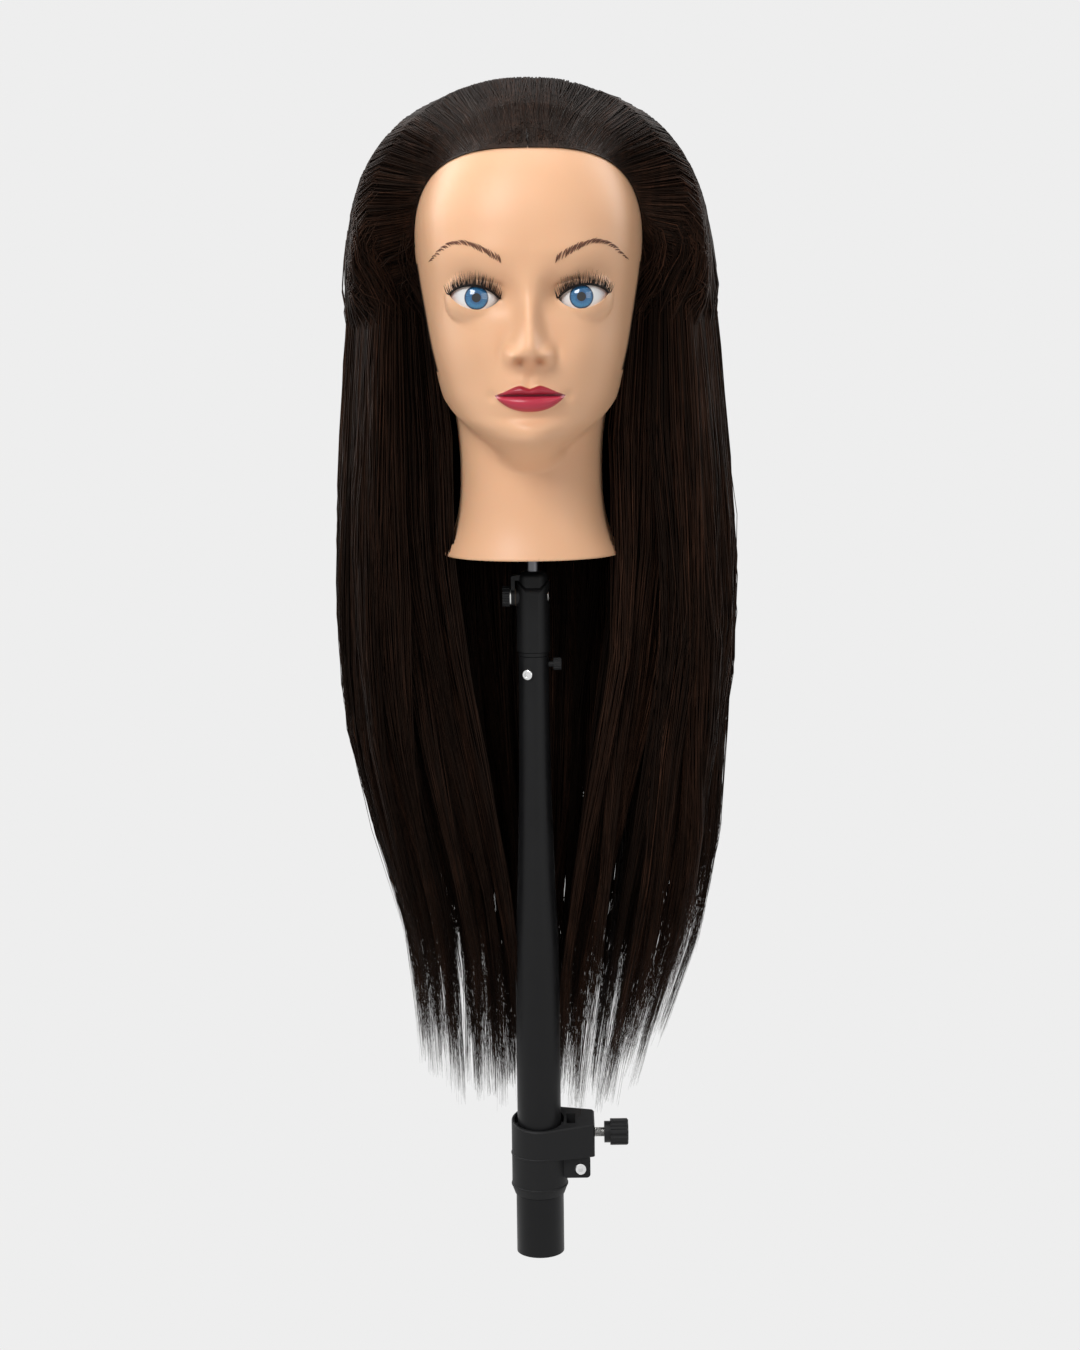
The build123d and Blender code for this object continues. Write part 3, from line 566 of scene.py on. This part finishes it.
def eyeMaterial(name, centre):
    material, nodes, links, shader = newMaterial(name)
    place = objectSpace(nodes, links, centre=[c * mm for c in centre])
    flat = nodes.new("ShaderNodeSeparateXYZ")
    links.new(place, flat.inputs["Vector"])
    x, z = flat.outputs["X"], flat.outputs["Z"]
    acrossSquare = math2(nodes, links, "MULTIPLY", x, x)
    upSquare = math2(nodes, links, "MULTIPLY", z, z)
    radius = math2(nodes, links, "SQRT", math2(nodes, links, "ADD", acrossSquare, upSquare))
    angle = math2(nodes, links, "ARCTAN2", z, x)
    spokes = nodes.new("ShaderNodeCombineXYZ")
    links.new(math2(nodes, links, "MULTIPLY", angle, 9.0), spokes.inputs["X"])
    links.new(math2(nodes, links, "MULTIPLY", radius, 260.0), spokes.inputs["Y"])
    fibres = noiseOn(nodes, links, spokes.outputs["Vector"], 1.6, 4, 0.7)
    # painted light: the lower part of the iris is painted lighter, as where light falls on it
    lower = remap(nodes, links, z, 0.001, -0.006)
    fibres = remap(nodes, links, fibres, 0.35, 0.68)
    iris = mixColour(nodes, links, fibres, (0.006, 0.075, 0.20), (0.03, 0.20, 0.42))
    iris = mixColour(nodes, links, math2(nodes, links, "MULTIPLY", lower, 0.55), iris, (0.05, 0.28, 0.52))
    irisSize, pupilSize = eyeball["irisRadius"], eyeball["pupilRadius"]
    inner = remap(nodes, links, radius, pupilSize * 1.75 * mm, pupilSize * 1.05 * mm)
    iris = mixColour(nodes, links, math2(nodes, links, "MULTIPLY", inner, 0.6), iris, (0.006, 0.07, 0.20))
    rim = remap(nodes, links, radius, (irisSize - 1.25) * mm, irisSize * mm)
    iris = mixColour(nodes, links, math2(nodes, links, "MULTIPLY", rim, 0.92), iris, (0.004, 0.012, 0.035))
    # painted shade: the white darkens to a grey-pink towards the corners of the eye
    far = remap(nodes, links, radius, 0.009, 0.016)
    white = mixColour(nodes, links, far, (0.78, 0.78, 0.78), (0.55, 0.44, 0.42))
    edge = remap(nodes, links, radius, (irisSize - 0.12) * mm, (irisSize + 0.22) * mm)
    colour = mixColour(nodes, links, edge, iris, white)
    hole = remap(nodes, links, radius, (pupilSize + 0.15) * mm, (pupilSize - 0.15) * mm)
    colour = mixColour(nodes, links, hole, colour, (0.002, 0.002, 0.003))
    links.new(colour, shader.inputs["Base Color"])
    shader.inputs["Roughness"].default_value = 0.08
    shader.inputs["Specular IOR Level"].default_value = 0.55
    shader.inputs["Coat Weight"].default_value = 0.6
    shader.inputs["Coat Roughness"].default_value = 0.03
    return material


def makeEye(side, sign):
    centre = (sign * face["eyeX"], face["ballY"], face["eyeZ"])
    bm = bmesh.new()
    size = face["ballRadius"] * mm
    ball = bmesh.ops.create_uvsphere(bm, u_segments=eyeball["rings"], v_segments=48, radius=size)
    bmesh.ops.rotate(bm, verts=ball["verts"], matrix=Matrix.Rotation(math.radians(90), 3, "X"))
    for vertex in bm.verts:  # the clear dome over the iris
        across = math.hypot(vertex.co.x, vertex.co.z) / mm
        if vertex.co.y < 0:
            vertex.co.y -= 0.9 * mm * float(ease(8.2, 2.0, across))
    bmesh.ops.translate(bm, verts=bm.verts, vec=[c * mm for c in centre])
    piece = makeObject(bm, f"{side}_eye_ball", eyeMaterial(f"{side}EyePaint", centre))
    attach(piece, "head")
    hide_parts(f"{side}_eye")


for side, sign in (("left", -1), ("right", 1)):
    makeEye(side, sign)
print("eyes made")


# fine strokes and hairs: each is a thin tapered curve, made a mesh


def strandMesh(name, paths, radii, material):
    data = bpy.data.curves.new(name, "CURVE")
    data.dimensions = "3D"
    data.bevel_depth = 1.0
    data.bevel_resolution = 0
    data.use_fill_caps = True
    for path, radius in zip(paths, radii):
        spline = data.splines.new("POLY")
        spline.points.add(len(path) - 1)
        four = np.ones((len(path), 4), np.float32)
        four[:, :3] = path
        spline.points.foreach_set("co", four.ravel() * np.tile([mm, mm, mm, 1], len(path)))
        spline.points.foreach_set("radius", np.asarray(radius, np.float32) * mm)
    holder = bpy.data.objects.new(name + "_curve", data)
    bpy.context.scene.collection.objects.link(holder)
    mesh = bpy.data.meshes.new_from_object(holder.evaluated_get(bpy.context.evaluated_depsgraph_get()))
    bpy.data.objects.remove(holder)
    mesh.name = name
    mesh.materials.clear()
    mesh.materials.append(material)
    mesh.shade_smooth()
    piece = bpy.data.objects.new(name, mesh)
    bpy.context.scene.collection.objects.link(piece)
    return piece


def plainMaterial(name, colour, roughness, specular=0.3):
    material, nodes, links, shader = newMaterial(name)
    place = objectSpace(nodes, links)
    vary = noiseOn(nodes, links, place, 260, 2)
    lighter = tuple(min(1, c * 1.7) for c in colour)
    links.new(mixColour(nodes, links, vary, colour, lighter), shader.inputs["Base Color"])
    shader.inputs["Roughness"].default_value = roughness
    shader.inputs["Specular IOR Level"].default_value = specular
    return material


brows = {
    "seed": 11, "strokes": 34, "thickness": 0.42, "colour": (0.115, 0.050, 0.030),
    "x": ((0, 16.5), (0.35, 30), (0.7, 45), (1, 58.5)),
    "z": ((0, 642.0), (0.35, 649.2), (0.62, 651.8), (0.8, 649.6), (1, 641.8)),
    "width": ((0, 5.4), (0.3, 6.2), (0.6, 4.6), (1, 2.8)),
    "lean": ((0, 74), (0.4, 52), (0.7, 22), (1, -18)),
}


def makeBrows():
    rng = np.random.default_rng(brows["seed"])
    paths, radii = [], []
    for sign in (-1, 1):
        for k in range(brows["strokes"]):
            t = k / (brows["strokes"] - 1)
            x, z, width, lean = (float(through(brows[key], t)) for key in ("x", "z", "width", "lean"))
            lean = math.radians(lean + rng.normal(0, 5))
            half = width * 0.5
            steps = np.linspace(-1, 1, 6)
            px = x + steps * half * math.cos(lean) + rng.normal(0, 0.18)
            pz = z + steps * half * math.sin(lean) + rng.normal(0, 0.22) - 0.5 * steps**2
            py = surfaceAt(px, pz) - 0.22
            paths.append(np.stack([px * sign, py, pz], 1))
            radii.append(brows["thickness"] * np.array([0.25, 0.8, 1, 0.9, 0.6, 0.12]))
    piece = strandMesh("brow_strokes", paths, radii, plainMaterial("browPaint", brows["colour"], 0.6))
    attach(piece, "head")


lashes = {"seed": 23, "count": 148, "length": 9.6, "thickness": 0.17, "colour": (0.006, 0.004, 0.003)}


def lashRoot(s):  # on the lid's edge, running on past both corners
    x, z = lidEdge(np.clip(s, -1, 1), True)
    past = np.abs(s) - 1
    x = x + np.sign(s) * np.clip(past, 0, None) * 14.5
    z = z + np.clip(past, 0, None) * 3.0
    return x, z + 0.35


def makeLashes(side, sign, material):
    rng = np.random.default_rng(lashes["seed"] + sign)
    paths, radii = [], []
    band = np.linspace(-1.10, 1.13, 40)
    bandX, bandZ = lashRoot(band)
    for lift, thick in ((0.0, 0.5), (0.55, 0.42)):
        px, pz = face["eyeX"] + bandX, face["eyeZ"] + bandZ + lift
        py = surfaceAt(px, pz) - 0.35
        paths.append(np.stack([px * sign, py, pz], 1))
        ends = np.clip(np.minimum(band + 1.12, 1.15 - band) * 6, 0.15, 1)
        radii.append(thick * ends)
    for _ in range(lashes["count"]):
        s = rng.uniform(-1.08, 1.12)
        x, z = lashRoot(np.array([s]))
        fan = 0.55 * s + rng.normal(0, 0.16)
        length = lashes["length"] * (0.80 + 0.25 * (1 - s * s)) * rng.uniform(0.62, 1.08)
        t = np.linspace(0, 1, 7)
        px = face["eyeX"] + x[0] + length * 0.50 * fan * t**1.3
        pz = face["eyeZ"] + z[0] + length * (0.22 * t + 0.66 * t**1.9)
        root = float(surfaceAt(np.array([face["eyeX"] + x[0]]), np.array([face["eyeZ"] + z[0]]))[0])
        py = root - 0.4 - length * (0.80 * t - 0.30 * t * t)
        paths.append(np.stack([px * sign, py, pz], 1))
        radii.append(lashes["thickness"] * np.array([1, 1, 0.92, 0.8, 0.6, 0.36, 0.08]))
    piece = strandMesh(f"{side}_lashes", paths, radii, material)
    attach(piece, "head")
    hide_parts(f"{side}_lash_strip")


makeBrows()
lashPaint = plainMaterial("lashFibre", lashes["colour"], 0.5)
for side, sign in (("left", -1), ("right", 1)):
    makeLashes(side, sign, lashPaint)
print("brows and lashes made")


# hair: long tapered strands gathered in locks, combed back over the crown and falling

hair = {
    "seed": 7, "locks": 270, "perLock": 58, "locksInPiece": 31, "crownPoints": 7, "fallPoints": 7,
    "radius": 0.37, "crownReach": 114.0, "shoulderZ": 662.0, "bendTop": 0.60, "bendFoot": 0.34,
    # dark and light ends of the hair colour; inner strands are pushed to the dark end as painted shade
    "dark": (0.0035, 0.0020, 0.0016), "light": (0.050, 0.022, 0.013),
}
outerLeft = ((100, 80), (190, 83), (240, 93), (290, 108), (350, 120), (420, 124), (560, 118), (660, 109))
outerRight = ((100, 71), (140, 82), (200, 104), (260, 117), (340, 122), (420, 128), (560, 121), (660, 112))
innerWidth = ((100, 8), (200, 14), (300, 30), (400, 50), (460, 58), (520, 58), (560, 62), (600, 67),
              (640, 72), (662, 74))
outerBack = ((100, 56), (200, 70), (300, 84), (420, 96), (560, 106), (640, 108), (662, 108))
innerBack = ((100, 26), (200, 32), (300, 40), (420, 52), (500, 64), (560, 84), (600, 96), (662, 100))
frontReach = ((100, 40), (300, 56), (460, 66), (560, 72), (662, 78))
rootTurnAt = ((54, 0.90), (75, 0.66), (90, 0.52), (110, 0.38), (140, 0.20), (188, -0.03))
crownCentre = np.array([0.0, 5.0, 640.0])
lowestRise = -0.6  # how far below crownCentre the scalp is measured, in radians


def unit(v):
    return v / np.linalg.norm(v, axis=-1, keepdims=True)


def measureScalp():  # reach of the skin from crownCentre, by turn and rise
    faces = [p.vertices for p in skin.data.polygons]
    tree = BVHTree.FromPolygons([v.co for v in skin.data.vertices], faces)
    turns, rises = np.linspace(-math.pi, math.pi, 145), np.linspace(lowestRise, math.pi / 2, 56)
    reach = np.full((len(turns), len(rises)), 90.0)
    for i, turn in enumerate(turns):
        for j, rise in enumerate(rises):
            course = (math.sin(turn) * math.cos(rise), -math.cos(turn) * math.cos(rise), math.sin(rise))
            found = tree.ray_cast(Vector(crownCentre * mm), Vector(course))
            if found[3]:
                reach[i, j] = found[3] / mm
    return reach


def scalpReach(direction):  # looked up between the measured directions
    turns, rises = scalpTable.shape
    across = (np.arctan2(direction[..., 0], -direction[..., 1]) + math.pi) / (2 * math.pi) * (turns - 1)
    rise = np.arcsin(np.clip(direction[..., 2], -1, 1))
    up = (rise - lowestRise) / (math.pi / 2 - lowestRise) * (rises - 1)
    i = np.clip(across.astype(int), 0, turns - 2)
    j = np.clip(up, 0, rises - 1.001).astype(int)
    u, v = across - i, np.clip(up - j, 0, 1)
    near = scalpTable[i, j] * (1 - u) + scalpTable[i + 1, j] * u
    return near * (1 - v) + (scalpTable[i, j + 1] * (1 - u) + scalpTable[i + 1, j + 1] * u) * v


def onCrown(direction, lift):  # between the scalp and the outside of the hair
    scalp = scalpReach(direction)
    hull = (np.abs(direction / hair["crownReach"]) ** 2.15).sum(-1) ** (-1 / 2.15)
    hull = np.maximum(hull, scalp + 2.0)
    return crownCentre + direction * (scalp + 0.8 + (hull - scalp - 1.0) * lift)[..., None]


def hairlineRoot(turn, sign):  # edge of the face: turn 0 at its top centre, 1 at the temple, 2 by the jaw
    corner = np.clip(turn, -0.2, 1) * math.pi / 2
    power = 2 / face["hairlinePower"]
    x = face["hairlineHalf"] * np.sign(corner) * np.abs(np.sin(corner)) ** power
    z = face["hairlineCentre"] + face["hairlineRise"] * np.abs(np.cos(corner)) ** power
    z = z - np.clip(turn - 1, 0, 1) * 60
    y = np.minimum(surfaceAt(x, z), -20)
    return unit(np.stack([x * sign, y - crownCentre[1], z - crownCentre[2]], -1))


def hangingAt(theta, depth, z):  # where hair hangs at a height, by its place round the head
    side, ahead = np.sin(theta), np.cos(theta) > 0
    wide = np.where(side < 0, through(outerLeft, z), through(outerRight, z))
    near = through(innerWidth, z)
    outerY = np.where(ahead, through(frontReach, z), through(outerBack, z))
    innerY = np.where(ahead, through(frontReach, z) * 0.7, through(innerBack, z))
    x = side * (near + (wide - near) * depth)
    return x, 14 - np.cos(theta) * (innerY + (outerY - innerY) * depth)


def growLock(rng, sign, place, count):  # paths, radii and shades of the strands of one lock
    angle = 56 + 130 * place**1.05
    theta, depth = math.radians(angle), rng.beta(1.5, 0.85)
    edge = abs(math.sin(theta)) * depth
    tip = 86 + 80 * max(0, edge - 0.45) ** 1.2 + rng.exponential(30)
    tip += (rng.random() < 0.3) * rng.uniform(40, 180)
    spread, turned = np.sqrt(rng.random(count)), rng.uniform(0, 6.28, count)
    myTheta = (theta + np.cos(turned) * spread * 0.085) * sign
    myDepth = np.clip(depth + np.sin(turned) * spread * 0.17, 0.02, 1.0)
    # over the crown, from the edge of the face or from a place further back on the scalp
    turn = through(rootTurnAt, np.full(count, angle)) + rng.normal(0, 0.05, count)
    low = (angle < 84) * (rng.random(count) < 0.45)
    turn = np.where(low, rng.uniform(0.8, 1.06, count), turn)
    root = hairlineRoot(turn, sign)
    shoulderZ = hair["shoulderZ"] - 46 * ease(0.45, 1.0, turn) - rng.uniform(0, 16, count)
    shoulderX, shoulderY = hangingAt(myTheta, myDepth, shoulderZ)
    shoulder = np.stack([shoulderX, shoulderY, shoulderZ], 1) - crownCentre
    end = unit(shoulder)
    apart = np.clip((1 - (root * end).sum(-1)) / 0.75, 0.06, 1)[:, None]
    above = unit(root + end + np.array([0, 0.15, 1.15]) * apart)
    begin = np.where(rng.random(count) < 0.62, 0, rng.uniform(0.05, 0.75, count) * (1.1 - myDepth))
    t = begin[:, None] + (1 - begin[:, None]) * np.linspace(0, 1, hair["crownPoints"])
    w = t[..., None]
    middle = 2.3 * w * (1 - w) * above[:, None]
    course = unit((1 - w) ** 2 * root[:, None] + middle + w**2 * end[:, None])
    lift = ease(0, 0.42, t - begin[:, None]) * (0.12 + 0.88 * myDepth[:, None])
    crown = onCrown(course, lift)
    settle = ease(0.55, 1.0, w)
    reach = np.linalg.norm(shoulder, axis=1)[:, None, None]
    crown = crown * (1 - settle) + (crownCentre + course * reach) * settle

    # down the fall, gathering towards the lock's own middle
    myTip = np.minimum(tip + rng.exponential(30, count), 420)
    share = (np.arange(1, hair["fallPoints"] + 1) / hair["fallPoints"]) ** 0.92
    z = shoulderZ[:, None] - (shoulderZ - myTip)[:, None] * share
    x, y = hangingAt(myTheta[:, None], myDepth[:, None], z)
    middleX, middleY = hangingAt(theta * sign, depth, z)
    down = (hair["shoulderZ"] - z) / (hair["shoulderZ"] - 90)
    gather = 1 - rng.uniform(0.82, 0.95) * ease(0.22, 0.82, down)
    sway = rng.normal(0, 3.2, 2)
    wave = np.sin(z / rng.uniform(45, 90) + rng.uniform(0, 6.28)) * ease(0.05, 0.5, down)
    stray = rng.normal(0, 0.55, (2, *z.shape)) + rng.normal(0, 1.6, (2, count, 1)) * down**2
    x = middleX + (x - middleX) * gather + sway[0] * wave + stray[0]
    y = middleY + (y - middleY) * gather + sway[1] * wave + stray[1]
    path = np.concatenate([crown, np.stack([x, y, z], -1)], 1)
    run = np.linspace(0, 1, path.shape[1])
    taper = (0.55 + 0.45 * ease(0, 0.15, run)) * (1 - 0.9 * ease(0.70, 1.0, run))
    radius = hair["radius"] * taper * rng.uniform(0.7, 1.15, (count, 1))
    # random tone of the lock and the strand, times painted shade: strands deeper inside the hair are darkened
    # towards black
    shade = (0.5 * rng.random() + 0.5 * rng.random(count)) * (0.12 + 0.88 * myDepth**1.5)
    return path, radius, shade


def hairMaterial():
    material, nodes, links, shader = newMaterial("brownHair")
    place = objectSpace(nodes, links, scale=(1, 1, 0.14))
    streak = noiseOn(nodes, links, place, 240, 3, 0.6)
    shade = readMask(nodes, "strandShade")
    # strandShade carries random tone and the painted shade deep inside the hair
    mixed = math2(nodes, links, "MULTIPLY", shade, remap(nodes, links, streak, 0.3, 0.75, 0.45, 1.35))
    colour = mixColour(nodes, links, math2(nodes, links, "POWER", mixed, 1.4), hair["dark"], hair["light"])
    links.new(colour, shader.inputs["Base Color"])
    shader.inputs["Roughness"].default_value = 0.44
    shader.inputs["Specular IOR Level"].default_value = 0.13
    shader.inputs["Specular Tint"].default_value = (1.0, 0.72, 0.55, 1)
    return material


def makeHair():
    rng = np.random.default_rng(hair["seed"])
    material = hairMaterial()
    half = hair["locks"] // 2
    locksEach = hair["locksInPiece"]  # keeps each piece a manageable mesh
    for side, sign in (("left", -1), ("right", 1)):
        for first in range(0, half, locksEach):
            grown = [growLock(rng, sign, (lock + rng.random()) / half, hair["perLock"])
                     for lock in range(first, min(first + locksEach, half))]
            paths, radii, shades = (np.concatenate(parts) for parts in zip(*grown))
            name = f"hair_{side}_{first // locksEach + 1}"
            piece = strandMesh(name, paths, radii, material)
            each = len(piece.data.vertices) // len(shades)
            addMask(piece, "strandShade", np.repeat(shades, each))
            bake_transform(piece)
    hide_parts("hair_fall_left", "hair_cap")
    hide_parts("hair_fall_right", "hair_fall_back")


scalpTable = measureScalp()
makeHair()


# finishes of the metal and plastic pieces, by material slot

finishes = {  # colour, roughness, metallic, grain per metre, grain depth in metres
    "black_tube": ((0.0070, 0.0070, 0.0075), 0.40, 0.0, 1400, 0.00002),
    "black_collar": ((0.0105, 0.0105, 0.0110), 0.52, 0.0, 2600, 0.00006),
    "black_knob": ((0.0105, 0.0105, 0.0110), 0.45, 0.0, 2200, 0.00005),
    "black_fitting": ((0.0065, 0.0065, 0.0068), 0.42, 0.0, 1500, 0.00003),
    "grey_nylon": ((0.10, 0.10, 0.11), 0.50, 0.0, 900, 0.00002),
    "bright_screw": ((0.80, 0.80, 0.80), 0.17, 1.0, 700, 0.00001),
    "zinc_nut": ((0.72, 0.72, 0.70), 0.30, 1.0, 1200, 0.00002),
    "steel_thread": ((0.62, 0.61, 0.59), 0.28, 1.0, 1200, 0.00001),
    "steel_peg": ((0.16, 0.16, 0.17), 0.38, 1.0, 1200, 0.00001),
    "brass_shoe": ((0.72, 0.50, 0.20), 0.30, 1.0, 1200, 0.00002),
    "fibre_washer": ((0.045, 0.032, 0.022), 0.80, 0.0, 2600, 0.00006),
    "vinyl_skin": ((0.87, 0.56, 0.36), 0.50, 0.0, 900, 0.00002),
    "foam": ((0.80, 0.74, 0.56), 0.90, 0.0, 800, 0.0002),
    "neck_plug": ((0.02, 0.02, 0.02), 0.60, 0.0, 1500, 0.00005),
    "glass_eye": ((0.75, 0.78, 0.80), 0.10, 0.0, 600, 0.0),
    "lash_fibre": ((0.01, 0.007, 0.006), 0.50, 0.0, 900, 0.0),
    "brown_hair": ((0.012, 0.007, 0.005), 0.50, 0.0, 900, 0.0),
}
threads = {"lock_screw": 1.0, "tilt_bolt": 1.0}  # pitches of the screws that show, along X


def finishMaterial(name, colour, roughness, metallic, grain, depth, pitch):
    material, nodes, links, shader = newMaterial(name)
    place = objectSpace(nodes, links)
    broad = noiseOn(nodes, links, place, 45, 3)
    deeper, lighter = tuple(c * 0.82 for c in colour), tuple(min(1, c * 1.22) for c in colour)
    links.new(mixColour(nodes, links, broad, deeper, lighter), shader.inputs["Base Color"])
    uneven = remap(nodes, links, broad, 0.3, 0.7, roughness * 0.88, roughness * 1.14)
    links.new(uneven, shader.inputs["Roughness"])
    shader.inputs["Metallic"].default_value = metallic
    shader.inputs["Specular IOR Level"].default_value = 0.5 if metallic else 0.2
    if pitch:
        wave = nodes.new("ShaderNodeTexWave")
        wave.bands_direction = "X"
        wave.inputs["Scale"].default_value = math.pi / (10 * pitch * mm)
        links.new(place, wave.inputs["Vector"])
        bumpFrom(nodes, links, wave.outputs["Fac"], 1.0, 0.00035, shader)
    elif depth:
        bumpFrom(nodes, links, noiseOn(nodes, links, place, grain, 2), 0.6, depth, shader)
    return material


def finishNodes():
    slotOf = {part["node"]: part["material_slot"] for part in frame["record"]["subparts"]}
    made = {}
    for name, node in frame["nodes"].items():
        slot, pitch = slotOf[name], threads.get(name)
        key = slot + ("Thread" + name if pitch else "")
        if key not in made:
            made[key] = finishMaterial(key, *finishes[slot], pitch)
        node.data.materials.clear()
        node.data.materials.append(made[key])


finishNodes()
print("finishes made")
